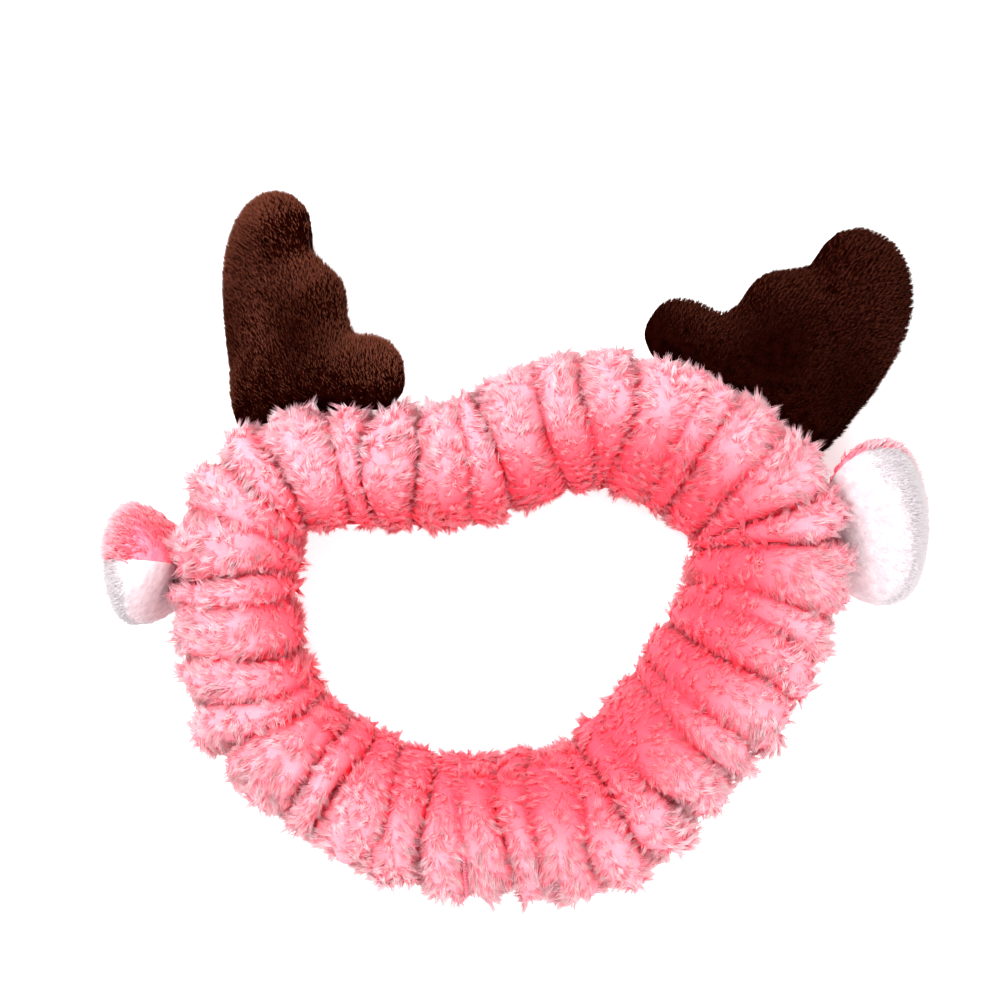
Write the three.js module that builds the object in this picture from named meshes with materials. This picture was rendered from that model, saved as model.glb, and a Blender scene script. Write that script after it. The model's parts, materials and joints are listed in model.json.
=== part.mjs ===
// Spa headband: a gathered plush tube sewn into a loop around an elastic, with two stuffed
// antlers and two stuffed ears sewn to the outside of its upper half.
//
// Units are millimetres, +Z up. The headband lies on a table on the lower edge of its loop, so the
// wearer's head goes through along Z. +Y is the side of the loop that carries the antlers.

import * as THREE from 'three';
import { LoftGeometry } from 'three/addons/geometries/LoftGeometry.js';
import { mergeGeometries } from 'three/addons/utils/BufferGeometryUtils.js';

// ---- Driving sizes, in millimetres and degrees ----

// Centre line of the tube, seen from above: its overall sizes, and how the slack loop lies, as
// points on it in shares of its half width and half depth.
const loopWidth = 162;
const loopDepth = 124;
const loopLie = [
  [1, 0.15], [0.99, 0.53], [0.82, 0.76], [0.57, 0.94], [0.35, 1], [0.1, 0.9], [-0.17, 0.77],
  [-0.53, 0.76], [-0.88, 0.68], [-1, 0.34], [-0.98, -0.11], [-0.88, -0.5], [-0.59, -0.81],
  [-0.3, -0.98], [0.05, -1], [0.35, -0.97], [0.57, -0.71], [0.77, -0.4], [0.91, -0.13],
];

// The tube of plush: its size with the pile, the cloth's thickness with the pile, how square its
// section is, and how far the lowest edge is pressed flat against the table.
const tubeThickness = 41;
const tubeWidth = 64;
const coverWall = 4;
const tubeSquareness = 2.4;
const restFlat = 1.2;

// The tube leans outward at the top, more on one side of the loop than on the other.
const leanMean = 17;
const leanSwing = 14;
const leanTurn = -10;

// The gathers that the elastic pulls into the tube: how deep they are, how unevenly they follow
// each other, how far and how often their folds slant to and fro, and how much of their depth is
// lost along the lengthwise seam, where the cloth is held.
const gatherCount = 36;
const gatherDepth = 4;
const gatherUneven = 0.2;
const gatherSlant = 2.2;
const slantTurns = 3;
const gatherLoss = 0.8;

// The seam that closes the tube into a loop: its share of the way round, and how far its thread
// stands proud of the valley it lies in.
const closingSeamShare = 0.72;
const closingSeamRise = 1.7;

// Threads, and the clearance between pieces that touch.
const threadRadius = 0.4;
const clearance = 0.35;

// Facets: sides of the cover's outer and inner faces, and steps of the strips round the loop.
const outerSides = 10;
const innerSides = 8;
const loopSteps = 72;

// The elastic inside the tube: a strip whose ends overlap and are tacked together by a zigzag.
// The upper end starts to lift off the strip at a share of the way round.
const elasticWidth = 28;
const elasticThickness = 1.2;
const elasticOverlap = 13;
const elasticStepFrom = 0.95;
const elasticJoinShare = 0.69;
const tackWidth = 20;
const tackRows = 7;

// Antlers: outline as [out from the band, sideways towards the middle], root line first.
const antlerOutline = [
  [0, -12], [0, 0], [0, 12], [3, 23], [2, 36], [4, 46], [9, 50.5], [16, 48.5], [20.5, 41],
  [22.5, 30.5], [29.5, 30.5], [36.5, 30], [43, 26.5], [46.5, 21], [50, 18], [58.5, 18], [66, 14.5],
  [70, 5], [67.5, -4.5], [58.5, -13], [47, -17.5], [33.5, -19], [20, -18.5], [8, -16],
];
const antlerRootHalf = 12;
const antlerHalfThickness = 10.5;
const antlerPlumpness = 0.85;
const antlerSteps = 34;

// Ears: the same kind of outline, short and broad.
const earOutline = [
  [0, -11], [0, 0], [0, 11], [4.5, 22], [12, 27], [18.5, 21], [22.5, 9],
  [23, -5], [19.5, -19], [12, -27], [4.5, -22],
];
const earRootHalf = 10;
const earHalfThickness = 16;
const earPlumpness = 1.3;
const earSteps = 22;

// Plush panels of the antlers and ears: cloth with pile, sewn edge to edge around the wadding.
const panelWall = 2;
const waddingEase = 2;
const seamLip = 0.9;
const seamShoulder = 1.5;

// Rings of a stuffed piece, as shares of the way in from its outline to the middle.
const brimShare = 0.16;
const rimShare = 0.28;
const flankShare = 0.5;
const capShare = 0.8;

// The root of a stuffed piece is pinched flat, and zigzag stitches tie it to the band.
const pinchStart = 0.5;
const pinchSlope = 0.85;
const rootGap = 2.8;
const stitchPitch = 4;

// Where each piece is sewn to the band: share of the way round the loop, height of the root above
// the table, roll about the direction that it points in, droop of its tip, how far it points aside
// from straight out, and how far the stitches draw the root into the gathers.
const sewnPieces = {
  antler_right: { share: 0.083, height: 17, roll: -4, droop: 0, aside: 6, drawn: 1.4 },
  antler_left: { share: 0.388, height: 20, roll: -38, droop: 0, aside: -8, drawn: 0 },
  ear_right: { share: 0.038, height: 24, roll: 26, droop: 0, aside: -4, drawn: 1.5 },
  ear_left: { share: 0.467, height: 33, roll: -84, droop: 12, aside: 4, drawn: -0.8 },
};

// ---- Cloth and thread ----

const plush = (color) => new THREE.MeshStandardMaterial({ color, roughness: 0.95, metalness: 0 });
const pinkPlush = plush(0xff9fb4);
const whitePlush = plush(0xf4ecee);
const brownPlush = plush(0x3c1c14);
const wadding = plush(0xf2f0ea);
const pinkThread = plush(0xe8788f);
const brownThread = plush(0x24100b);
const elasticCloth = plush(0xf0eeee);

// ---- The loop of the tube ----

const radians = THREE.MathUtils.degToRad;

const loopPath = new THREE.CatmullRomCurve3(
  loopLie.map(([x, y]) => new THREE.Vector3((x * loopWidth) / 2, (y * loopDepth) / 2, 0)),
  true, 'centripetal',
);
loopPath.arcLengthDivisions = 1000;
const loopLength = loopPath.getLength();

// Point of the tube's centre line, seen from above, at a share of the way round.
function loopPoint(share) {
  return loopPath.getPointAt(THREE.MathUtils.euclideanModulo(share, 1));
}

// Outward direction across the centre line, level with the table.
function loopOutward(share) {
  const near = 0.005;
  const along = loopPoint(share + near).sub(loopPoint(share - near)).normalize();
  return new THREE.Vector3(along.y, -along.x, 0);
}

// How far the tube leans outward at a share of the way round.
function leanAt(share) {
  const { x, y } = loopPoint(share);
  return radians(leanMean + leanSwing * Math.cos(Math.atan2(y, x) - radians(leanTurn)));
}

// Point of a flattened round section at an angle: x out from the loop, y up along the tube's width.
function sectionPoint(angle, halfThickness, halfWidth) {
  const round = (value) => Math.sign(value) * Math.abs(value) ** (2 / tubeSquareness);
  return new THREE.Vector2(halfThickness * round(Math.cos(angle)), halfWidth * round(Math.sin(angle)));
}

// Section angle of a lip of the lengthwise seam, where the cloth leaves room for the thread.
function lipAngle(halfWidth) {
  const lipGap = threadRadius + 2 * clearance;
  return Math.asin((lipGap / halfWidth) ** (tubeSquareness / 2));
}

// Section angles of a face of the cloth, from one lip of the seam round to the other.
function faceAngles(halfWidth, count) {
  const lip = lipAngle(halfWidth);
  const angles = [];
  for (let step = 0; step < count; step += 1) {
    angles.push(-Math.PI + lip + (step / (count - 1)) * 2 * (Math.PI - lip));
  }
  return angles;
}

// Height of the tube's middle above the table, so that the leaning section presses the lowest two
// corners of its outer face, and what lies between them, flat against the table.
function middleHeight(share) {
  const lean = leanAt(share);
  const heights = faceAngles(tubeWidth / 2, outerSides).map((angle) => {
    const point = sectionPoint(angle, tubeThickness / 2, tubeWidth / 2);
    return point.y * Math.cos(lean) - point.x * Math.sin(lean);
  });
  heights.sort((low, high) => low - high);
  return -heights[1] - restFlat;
}

// Place of a section's point in the headband: the section leans outward about its middle.
function placeOnLoop(share, point) {
  const lean = leanAt(share);
  const out = point.x * Math.cos(lean) + point.y * Math.sin(lean);
  const up = point.y * Math.cos(lean) - point.x * Math.sin(lean);
  const place = loopPoint(share).addScaledVector(loopOutward(share), out);
  place.z = middleHeight(share) + up;
  return place;
}

// Surface through a row of rings of points.
function loft(rings, caps) {
  return new THREE.BufferGeometry().copy(new LoftGeometry(rings, caps));
}

// ---- The gathered cover ----

// Each gather runs from one valley to the next and puffs out between them.
const puffProfile = [0, 0.8, 1, 0.8];

function valleyShare(gather) {
  const scatter = 2.4;
  const uneven = gatherUneven * Math.sin(scatter * (gather % gatherCount));
  return closingSeamShare + (gather + uneven) / gatherCount;
}

// Every station along the loop, with how far the cover is puffed out there.
function coverStations() {
  const stations = [];
  for (let gather = 0; gather < gatherCount; gather += 1) {
    const start = valleyShare(gather);
    const end = valleyShare(gather + 1);
    puffProfile.forEach((puff, step) => {
      stations.push({ share: THREE.MathUtils.lerp(start, end, step / puffProfile.length), puff });
    });
  }
  return stations;
}

// The folds of the gathers slant to and fro: how far round the loop a section angle is shifted.
function slantShare(angle, share) {
  return (gatherSlant / loopLength) * Math.sin(angle + slantTurns * 2 * Math.PI * share);
}

// How far the cover is drawn in at a section angle: the gathers fade out at the lengthwise seam,
// which runs along the inner side of the loop.
function drawnIn(angle, puff) {
  const held = gatherLoss * Math.max(0, -Math.cos(angle)) ** 8;
  return gatherDepth * ((1 - held) * (1 - puff) + held / 2);
}

function coverSection(station) {
  const outerAngles = faceAngles(tubeWidth / 2, outerSides);
  const innerAngles = faceAngles(tubeWidth / 2 - coverWall, innerSides).reverse();
  const face = (angles, wall, floor) => angles.map((angle) => {
    const inset = drawnIn(angle, station.puff) + wall;
    const point = sectionPoint(angle, tubeThickness / 2 - inset, tubeWidth / 2 - inset);
    const place = placeOnLoop(station.share + slantShare(angle, station.share), point);
    place.z = Math.max(place.z, floor);
    return place;
  });
  return [...face(outerAngles, 0, 0), ...face(innerAngles, coverWall, coverWall)];
}

function bandCover() {
  const sections = coverStations().map(coverSection);
  sections.push(sections[0]);
  return loft(sections.reverse());
}

// ---- Threads ----

// Four-sided ring of thread around a point, in the plane of two directions.
function threadRing(centre, across, up, radius) {
  return [[1, 0], [0, 1], [-1, 0], [0, -1]].map(([a, b]) => centre.clone()
    .addScaledVector(across, a * radius)
    .addScaledVector(up, b * radius));
}

// Thread lying in the gap between the two lips of the cover's lengthwise seam.
function bandLongSeam() {
  const fromMiddle = tubeThickness / 2 - gatherDepth / 2 - coverWall / 2;
  const up = new THREE.Vector3(0, 0, 1);
  const rings = [];
  for (let step = 0; step <= loopSteps; step += 1) {
    const share = (step % loopSteps) / loopSteps;
    const centre = placeOnLoop(share, new THREE.Vector2(-fromMiddle, 0));
    rings.push(threadRing(centre, loopOutward(share), up, threadRadius));
  }
  return loft(rings.reverse());
}

// Thread of the seam that closes the tube into a loop: it runs round the section in one valley,
// over the same corners as the cover's outer face.
function bandClosingSeam() {
  const along = loopOutward(closingSeamShare).cross(new THREE.Vector3(0, 0, 1));
  const rings = faceAngles(tubeWidth / 2, outerSides).map((angle) => {
    const share = closingSeamShare + slantShare(angle, closingSeamShare);
    const at = (inset) => placeOnLoop(
      share, sectionPoint(angle, tubeThickness / 2 - inset, tubeWidth / 2 - inset),
    );
    const inset = drawnIn(angle, 0);
    const centre = at(inset - closingSeamRise);
    centre.z = Math.max(centre.z, 2 * threadRadius);
    const outward = at(inset - closingSeamRise).sub(at(inset)).normalize();
    return threadRing(centre, along, outward, threadRadius);
  });
  rings.push(rings[0]);
  return loft(rings);
}

// ---- The elastic ----

// Distance of the elastic from the tube's middle, so that the edges of the strip lie a clearance
// from the flat sides of the cover's inner face where a valley draws it in.
function elasticSeat() {
  const inset = gatherDepth + coverWall;
  const points = faceAngles(tubeWidth / 2 - coverWall, innerSides)
    .map((angle) => sectionPoint(angle, tubeThickness / 2 - inset, tubeWidth / 2 - inset));
  const above = points.findLastIndex((point) => point.y > elasticWidth / 2);
  const [high, low] = [points[above], points[above + 1]];
  const share = (high.y - elasticWidth / 2) / (high.y - low.y);
  return -THREE.MathUtils.lerp(high.x, low.x, share) - clearance - elasticThickness;
}

function elasticRing(share, shift) {
  const near = -elasticSeat() + shift;
  const half = elasticWidth / 2;
  const far = near - elasticThickness;
  return [[far, -half], [near, -half], [near, half], [far, half]]
    .map(([out, up]) => placeOnLoop(share, new THREE.Vector2(out, up)));
}

// The strip goes once round the loop, and its last stretch steps inside its own beginning.
function elasticLoop() {
  const turns = 1 + elasticOverlap / loopLength;
  const steps = Math.round(turns * loopSteps);
  const rings = [];
  for (let index = 0; index <= steps; index += 1) {
    const turned = (index / steps) * turns;
    const lifted = THREE.MathUtils.smoothstep(turned, elasticStepFrom, 1) * (elasticThickness + clearance);
    rings.push(elasticRing(elasticJoinShare + turned, lifted));
  }
  return loft(rings.reverse(), { capStart: true, capEnd: true });
}

// Zigzag of thread that tacks the overlapped ends, on the face away from the cover.
function elasticTack() {
  const seat = -elasticSeat() + elasticThickness + 2 * clearance + threadRadius;
  const margin = 0.2;
  const points = [];
  for (let row = 0; row < tackRows; row += 1) {
    const along = elasticOverlap * THREE.MathUtils.lerp(margin, 1 - margin, row / (tackRows - 1));
    const side = row % 2 === 0 ? 1 : -1;
    const point = new THREE.Vector2(seat, (side * tackWidth) / 2);
    points.push(placeOnLoop(elasticJoinShare + along / loopLength, point));
  }
  return threadAlong(points, 4);
}

// A thread along a curve through points.
function threadAlong(points, stepsPerPoint) {
  const path = new THREE.CatmullRomCurve3(points, false, 'centripetal');
  const section = new THREE.Shape(
    [[1, 0], [0, 1], [-1, 0], [0, -1]].map(([x, y]) => new THREE.Vector2(x, y).multiplyScalar(threadRadius)),
  );
  return new THREE.ExtrudeGeometry(section, {
    steps: points.length * stepsPerPoint,
    extrudePath: path,
  });
}

// ---- Stuffed pieces: antlers and ears ----

// A closed outline with, at each point, its inward direction and the radius of the largest circle
// that fits inside the outline and touches it there.
function measuredOutline(corners, mirrored, steps) {
  const path = new THREE.CatmullRomCurve3(
    corners.map(([out, side]) => new THREE.Vector3(out, side, 0)), true, 'centripetal',
  );
  const points = path.getSpacedPoints(steps).slice(0, steps);
  points.forEach((point) => { point.x = Math.max(point.x, 0); });
  const area = THREE.ShapeUtils.area(points);
  const ordered = area > 0 ? points : points.reverse();
  const inward = ordered.map((point, index) => {
    const next = ordered[(index + 1) % steps];
    const last = ordered[(index + steps - 1) % steps];
    return new THREE.Vector3(last.y - next.y, next.x - last.x, 0).normalize();
  });
  const radii = ordered.map((point, index) => {
    const reaches = ordered.map((other) => {
      const across = other.clone().sub(point);
      const depth = across.dot(inward[index]);
      return depth > 0.01 ? across.lengthSq() / (2 * depth) : Infinity;
    });
    return Math.min(...reaches);
  });
  const outline = ordered.map((point, index) => {
    const around = [-1, 0, 1].map((step) => radii[(index + step + steps) % steps]);
    const radius = Math.min(radii[index], (around[0] + around[1] + around[2]) / 3);
    return { point, inward: inward[index], radius };
  });
  if (!mirrored) return outline;
  const flip = (vector) => new THREE.Vector3(vector.x, -vector.y, 0);
  return outline.reverse().map(({ point, inward: inside, radius }) => (
    { point: flip(point), inward: flip(inside), radius }
  ));
}

// Height of the plump surface over the seam plane at a share of the way in from the outline.
function plumpHeight(shape, edge, share) {
  const full = Math.min(shape.halfThickness, shape.plumpness * edge.radius);
  const out = edge.point.x + edge.inward.x * edge.radius * share;
  const pinched = pinchStart + pinchSlope * out;
  return Math.min(full * Math.sqrt(1 - (1 - share) ** 2), pinched);
}

// Ring of points a share of the way in from the outline, moved a little further by a distance.
function insetRing(shape, share, extra, height) {
  return shape.outline.map((edge) => {
    const point = edge.point.clone().addScaledVector(edge.inward, edge.radius * share + extra);
    point.z = height(edge);
    return point;
  });
}

// Faces that close an innermost ring, facing up or down. Every layer of a piece is closed by the
// same faces, so that the layers stay apart.
function ringCap(shape, ring, faceUp) {
  const plan = insetRing(shape, capShare, 0, () => 0).map(({ x, y }) => new THREE.Vector2(x, y));
  const faces = THREE.ShapeUtils.triangulateShape(plan, []);
  const cap = new THREE.BufferGeometry().setFromPoints(ring);
  cap.setIndex((faceUp ? faces : faces.map(([a, b, c]) => [a, c, b])).flat());
  return cap;
}

// Walls up through rings, closed by a cap on the first and on the last.
function closedLoft(shape, rings, firstUp) {
  const walls = loft(rings);
  walls.deleteAttribute('normal');
  walls.deleteAttribute('uv');
  const last = rings[rings.length - 1];
  return mergeGeometries([ringCap(shape, rings[0], firstUp), walls, ringCap(shape, last, true)]);
}

// One plush panel, a bowl of cloth on the upper side of the seam plane (or the lower one).
function plushPanel(shape, side) {
  const outside = (share) => insetRing(shape, share, 0, (edge) => side * plumpHeight(shape, edge, share));
  const inside = (share) => insetRing(shape, share, 0, (edge) => (
    side * Math.max(plumpHeight(shape, edge, share) - panelWall, 2 * clearance)
  ));
  const shoulder = insetRing(shape, 0, 0, (edge) => (
    side * Math.min(seamShoulder, plumpHeight(shape, edge, brimShare) * 0.8)
  ));
  const lip = insetRing(shape, 0, seamLip, () => (side * clearance) / 2);
  const rim = insetRing(shape, rimShare, 0, () => (side * clearance) / 2);
  const rings = [
    outside(capShare), outside(flankShare), outside(brimShare), shoulder, lip, rim,
    inside(flankShare), inside(capShare),
  ];
  return closedLoft(shape, side > 0 ? rings.reverse() : rings, false);
}

// The wadding that fills the space between the two panels.
function waddingCore(shape) {
  const layer = (share, side) => insetRing(shape, share, 0, (edge) => (
    side * Math.max(plumpHeight(shape, edge, share) - panelWall - waddingEase, clearance / 2)
  ));
  const rim = insetRing(shape, rimShare, waddingEase / 2, () => 0);
  const rings = [
    layer(capShare, -1), layer(flankShare, -1), rim, layer(flankShare, 1), layer(capShare, 1),
  ];
  return closedLoft(shape, rings, false);
}

// The thread of the edge seam, in the groove between the two panels' lips.
function edgeSeam(shape) {
  const up = new THREE.Vector3(0, 0, 1);
  const rings = shape.outline.map(({ point, inward }) => (
    threadRing(point, inward.clone().negate(), up, threadRadius)
  ));
  rings.push(rings[0]);
  return loft(rings.reverse());
}

// Zigzag of thread in the gap between the pinched root and the band.
function rootStitches(shape) {
  const count = Math.round((2 * shape.rootHalf) / stitchPitch) * 2;
  const nearRoot = -(2 * threadRadius + clearance);
  const nearBand = -(rootGap - threadRadius - clearance);
  const points = [];
  for (let index = 0; index <= count; index += 1) {
    const out = index % 2 === 0 ? nearRoot : nearBand;
    const along = THREE.MathUtils.lerp(-shape.rootHalf, shape.rootHalf, index / count);
    points.push(new THREE.Vector3(out, along, 0));
  }
  return threadAlong(points, 2);
}

// ---- Assembly ----

const group = new THREE.Group();

function addPiece(parent, name, geometry, material) {
  const mesh = new THREE.Mesh(geometry, material);
  mesh.name = name;
  parent.add(mesh);
}

addPiece(group, 'band_cover', bandCover(), pinkPlush);
addPiece(group, 'band_long_seam', bandLongSeam(), pinkThread);
addPiece(group, 'band_closing_seam', bandClosingSeam(), pinkThread);
addPiece(group, 'elastic_loop', elasticLoop(), elasticCloth);
addPiece(group, 'elastic_tack', elasticTack(), whitePlush);

// Point of the cover's outer wall at a height above the table: the search climbs the section from
// its lowest point.
function outerWall(share, height) {
  const at = (angle) => placeOnLoop(share, sectionPoint(angle, tubeThickness / 2, tubeWidth / 2));
  let angle = -Math.PI / 2;
  while (at(angle).z < height) angle += radians(0.5);
  return at(angle);
}

// A group whose X axis points out of the band from the middle of the sewn root. A rolled root
// reaches higher at one end, so it keeps its gap to the wall at that height.
function sewnGroup(name, rootHalf) {
  const { share, height, roll, droop, aside, drawn } = sewnPieces[name];
  const outward = loopOutward(share);
  const rise = rootHalf * Math.abs(Math.sin(radians(roll)));
  const sewn = new THREE.Group();
  sewn.name = name;
  sewn.position.copy(outerWall(share, height + rise)).addScaledVector(outward, rootGap - drawn);
  sewn.position.z = height;
  const heading = Math.atan2(outward.y, outward.x) + radians(aside);
  sewn.rotation.set(radians(roll), radians(droop), heading, 'ZYX');
  group.add(sewn);
  return sewn;
}

function addStuffedPiece(name, shape, frontCloth, backCloth, thread, panelNames) {
  const sewn = sewnGroup(name, shape.rootHalf);
  addPiece(sewn, `${name}_${panelNames[0]}`, plushPanel(shape, 1), frontCloth);
  addPiece(sewn, `${name}_${panelNames[1]}`, plushPanel(shape, -1), backCloth);
  addPiece(sewn, `${name}_wadding`, waddingCore(shape), wadding);
  addPiece(sewn, `${name}_edge_seam`, edgeSeam(shape), thread);
  addPiece(sewn, `${name}_root_stitches`, rootStitches(shape), thread);
}

for (const side of ['left', 'right']) {
  const mirrored = side === 'left';
  const antler = {
    outline: measuredOutline(antlerOutline, mirrored, antlerSteps),
    rootHalf: antlerRootHalf,
    halfThickness: antlerHalfThickness,
    plumpness: antlerPlumpness,
  };
  const ear = {
    outline: measuredOutline(earOutline, mirrored, earSteps),
    rootHalf: earRootHalf,
    halfThickness: earHalfThickness,
    plumpness: earPlumpness,
  };
  addStuffedPiece(`antler_${side}`, antler, brownPlush, brownPlush, brownThread, ['front', 'back']);
  addStuffedPiece(`ear_${side}`, ear, whitePlush, pinkPlush, pinkThread, ['lining', 'back']);
}

// The origin is under the middle of the headband, on the table.
const box = new THREE.Box3().setFromObject(group, true);
const middle = box.getCenter(new THREE.Vector3());
group.children.forEach((piece) => {
  piece.position.x -= middle.x;
  piece.position.y -= middle.y;
  piece.position.z -= box.min.z;
});

export default group;
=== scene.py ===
import json
import math

import bmesh
import bpy
import numpy as np
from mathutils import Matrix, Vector


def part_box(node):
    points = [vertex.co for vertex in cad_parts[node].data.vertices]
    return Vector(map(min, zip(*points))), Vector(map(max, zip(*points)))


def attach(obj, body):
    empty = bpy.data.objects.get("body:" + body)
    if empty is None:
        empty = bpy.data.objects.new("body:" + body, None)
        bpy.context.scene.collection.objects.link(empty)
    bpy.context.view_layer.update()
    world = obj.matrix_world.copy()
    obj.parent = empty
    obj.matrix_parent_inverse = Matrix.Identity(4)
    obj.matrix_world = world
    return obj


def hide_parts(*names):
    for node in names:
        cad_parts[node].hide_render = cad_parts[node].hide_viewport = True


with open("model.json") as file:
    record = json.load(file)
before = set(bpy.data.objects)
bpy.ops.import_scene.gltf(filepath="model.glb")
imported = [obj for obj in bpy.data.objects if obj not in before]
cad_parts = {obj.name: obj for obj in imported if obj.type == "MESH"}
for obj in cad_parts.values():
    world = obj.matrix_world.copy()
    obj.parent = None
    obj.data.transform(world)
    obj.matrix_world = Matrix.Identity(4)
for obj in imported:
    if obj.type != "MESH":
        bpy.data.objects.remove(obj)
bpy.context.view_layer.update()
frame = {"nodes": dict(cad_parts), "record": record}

MM = 0.001

# ---------------------------------------------------------------------------------------------
# The headband lies on a white light table under two large soft lights and an even white sky. It is
# seen from straight above, with the side that carries the antlers at the top of the view.
# ---------------------------------------------------------------------------------------------

VIEW_CENTRE = (-2.0 * MM, 11.55 * MM)
VIEW_WIDTH = 300 * MM
VIEW_DISTANCE = 720 * MM
SHARP_HEIGHT = 45 * MM
SENSOR_WIDTH = 36
LIGHTS_MEET = (0, 0, 30 * MM)
TABLE_SIZE = 6
TABLE_DROP = 0.2 * MM
TABLE_GLOW = 0.4
DAYLIGHT = 1.22

scene = bpy.context.scene
scene.view_settings.view_transform = "Standard"
scene.view_settings.look = "None"

camera_data = bpy.data.cameras.new("camera")
camera_data.sensor_width = SENSOR_WIDTH
camera_data.lens = SENSOR_WIDTH * VIEW_DISTANCE / VIEW_WIDTH
camera = bpy.data.objects.new("camera", camera_data)
camera.location = (*VIEW_CENTRE, SHARP_HEIGHT + VIEW_DISTANCE)
scene.collection.objects.link(camera)
scene.camera = camera


def soft_light(name, place, size, power):
    """A square light of a size in metres and a power in watts, turned to the headband."""
    data = bpy.data.lights.new(name, "AREA")
    data.size = size
    data.energy = power
    light = bpy.data.objects.new(name, data)
    light.location = place
    light.rotation_euler = (Vector(LIGHTS_MEET) - Vector(place)).to_track_quat("-Z", "Y").to_euler()
    scene.collection.objects.link(light)


soft_light("key_light", (-0.35, 0.45, 0.9), 0.5, 14)
soft_light("fill_light", (0.7, -0.5, 0.7), 0.8, 6)

world = bpy.data.worlds.new("studio")
world.use_nodes = True
world.node_tree.nodes["Background"].inputs["Color"].default_value = (1, 1, 1, 1)
world.node_tree.nodes["Background"].inputs["Strength"].default_value = DAYLIGHT
scene.world = world


def new_material(name, roughness, sheen=0.0, sheen_tint=(1, 1, 1, 1)):
    """A material with its steady numbers set on the shader; its pattern is wired afterwards."""
    material = bpy.data.materials.new(name)
    material.use_nodes = True
    shader = material.node_tree.nodes["Principled BSDF"]
    shader.inputs["Roughness"].default_value = roughness
    shader.inputs["Specular IOR Level"].default_value = 0.25
    shader.inputs["Sheen Weight"].default_value = sheen
    shader.inputs["Sheen Roughness"].default_value = 0.4
    shader.inputs["Sheen Tint"].default_value = sheen_tint
    return material


def node(material, kind, settings=None, **inputs):
    """Adds a node: settings are its properties, inputs its sockets, as values or as other sockets."""
    made = material.node_tree.nodes.new(kind)
    for key, value in (settings or {}).items():
        setattr(made, key, value)
    for key, value in inputs.items():
        socket = made.inputs[int(key[1:])] if key[0] == "i" and key[1:].isdigit() else made.inputs[key]
        if isinstance(value, bpy.types.NodeSocket):
            material.node_tree.links.new(value, socket)
        else:
            socket.default_value = value
    return made


def ramp(material, factor, stops):
    """Colour that runs through stops, each a place from 0 to 1 and its colour."""
    made = node(material, "ShaderNodeValToRGB", Fac=factor)
    elements = made.color_ramp.elements
    while len(elements) < len(stops):
        elements.new(0.5)
    for element, (place, colour) in zip(elements, stops):
        element.position = place
        element.color = (*colour, 1)
    return made.outputs["Color"]


def noise(material, scale, detail=3):
    """Cloudy unevenness, with as many clouds to a metre as its scale."""
    where = node(material, "ShaderNodeTexCoord").outputs["Object"]
    made = node(material, "ShaderNodeTexNoise", Vector=where, Scale=scale, Detail=detail)
    return made.outputs["Fac"]


def finish_material(material, colour, height=None, strength=0.3, distance=0.3 * MM):
    """Gives a material its colour pattern and, where it has one, its surface relief."""
    shader = material.node_tree.nodes["Principled BSDF"]
    material.node_tree.links.new(colour, shader.inputs["Base Color"])
    if height is not None:
        bump = node(material, "ShaderNodeBump", Height=height, Strength=strength, Distance=distance)
        material.node_tree.links.new(bump.outputs["Normal"], shader.inputs["Normal"])


def srgb(red, green, blue):
    """Linear value of a colour given as it is read off a colour card, 0 to 255."""
    return tuple((value / 255) ** 2.2 for value in (red, green, blue))


bpy.ops.object.select_all(action="DESELECT")
bpy.ops.mesh.primitive_plane_add(size=TABLE_SIZE, location=(0, 0, -TABLE_DROP))
table = bpy.context.object
table.name = "table"
table_white = new_material("table_white", 0.9)
table_tone = ramp(table_white, noise(table_white, 3), [(0, (0.95, 0.95, 0.95)), (1, (0.98, 0.98, 0.98))])
finish_material(table_white, table_tone)
table_shader = table_white.node_tree.nodes["Principled BSDF"]
table_shader.inputs["Emission Color"].default_value = (1, 1, 1, 1)
table_shader.inputs["Emission Strength"].default_value = TABLE_GLOW
table.data.materials.append(table_white)

# ---------------------------------------------------------------------------------------------
# The band: one strip of coral fleece folded round the elastic and sewn along its inner side. The
# elastic draws it into gathers, so the cloth puffs up between creases that run round the tube.
# ---------------------------------------------------------------------------------------------

LOOP_WIDTH = 162 * MM
LOOP_DEPTH = 124 * MM
LOOP_LIE = [
    (1, 0.15), (0.99, 0.53), (0.82, 0.76), (0.57, 0.94), (0.35, 1), (0.1, 0.9), (-0.17, 0.77),
    (-0.53, 0.76), (-0.88, 0.68), (-1, 0.34), (-0.98, -0.11), (-0.88, -0.5), (-0.59, -0.81),
    (-0.3, -0.98), (0.05, -1), (0.35, -0.97), (0.57, -0.71), (0.77, -0.4), (0.91, -0.13),
]
TUBE_THICKNESS = 41 * MM
TUBE_WIDTH = 64 * MM
TUBE_SQUARENESS = 2.4
LEAN_MEAN, LEAN_SWING, LEAN_TURN = 17, 14, -10
REST_FLAT = 1.2 * MM
SECTION_CORNERS = 10
SECTION_NICK = 0.03
GATHERS = 36
GATHER_UNEVEN = 0.2
FIRST_GATHER = 0.72
CREASE_WANDER = 2.2 * MM
CREASE_RIPPLE = 1.6 * MM
PUFF_SQUARENESS = 2.4
PUFF_ROUNDING = 0.6
PILE_HEIGHT = 2.4 * MM
CREASE_DEPTH = 6.2 * MM
CREASE_DEPTH_INSIDE = 3.6 * MM
SEAM_CREASE = 0.15
# Painted shade on the inner side of the tube: its strength, and how far round it starts.
INNER_PAINTED_SHADE = 1.15
INNER_SHADE_START = 0.18
LUMP_HEIGHT = 1.0 * MM
LUMP_CAP = 1.5 * MM
SWELL_UNEVEN = 1.2 * MM
MINOR_FOLD = 2.0 * MM
CLOTH_OFF_TABLE = 0.6 * MM
random = np.random.default_rng(7)


def unit(vectors):
    return vectors / np.maximum(np.linalg.norm(vectors, axis=-1, keepdims=True), 1e-12)


SPAN_STEPS = 60


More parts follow.
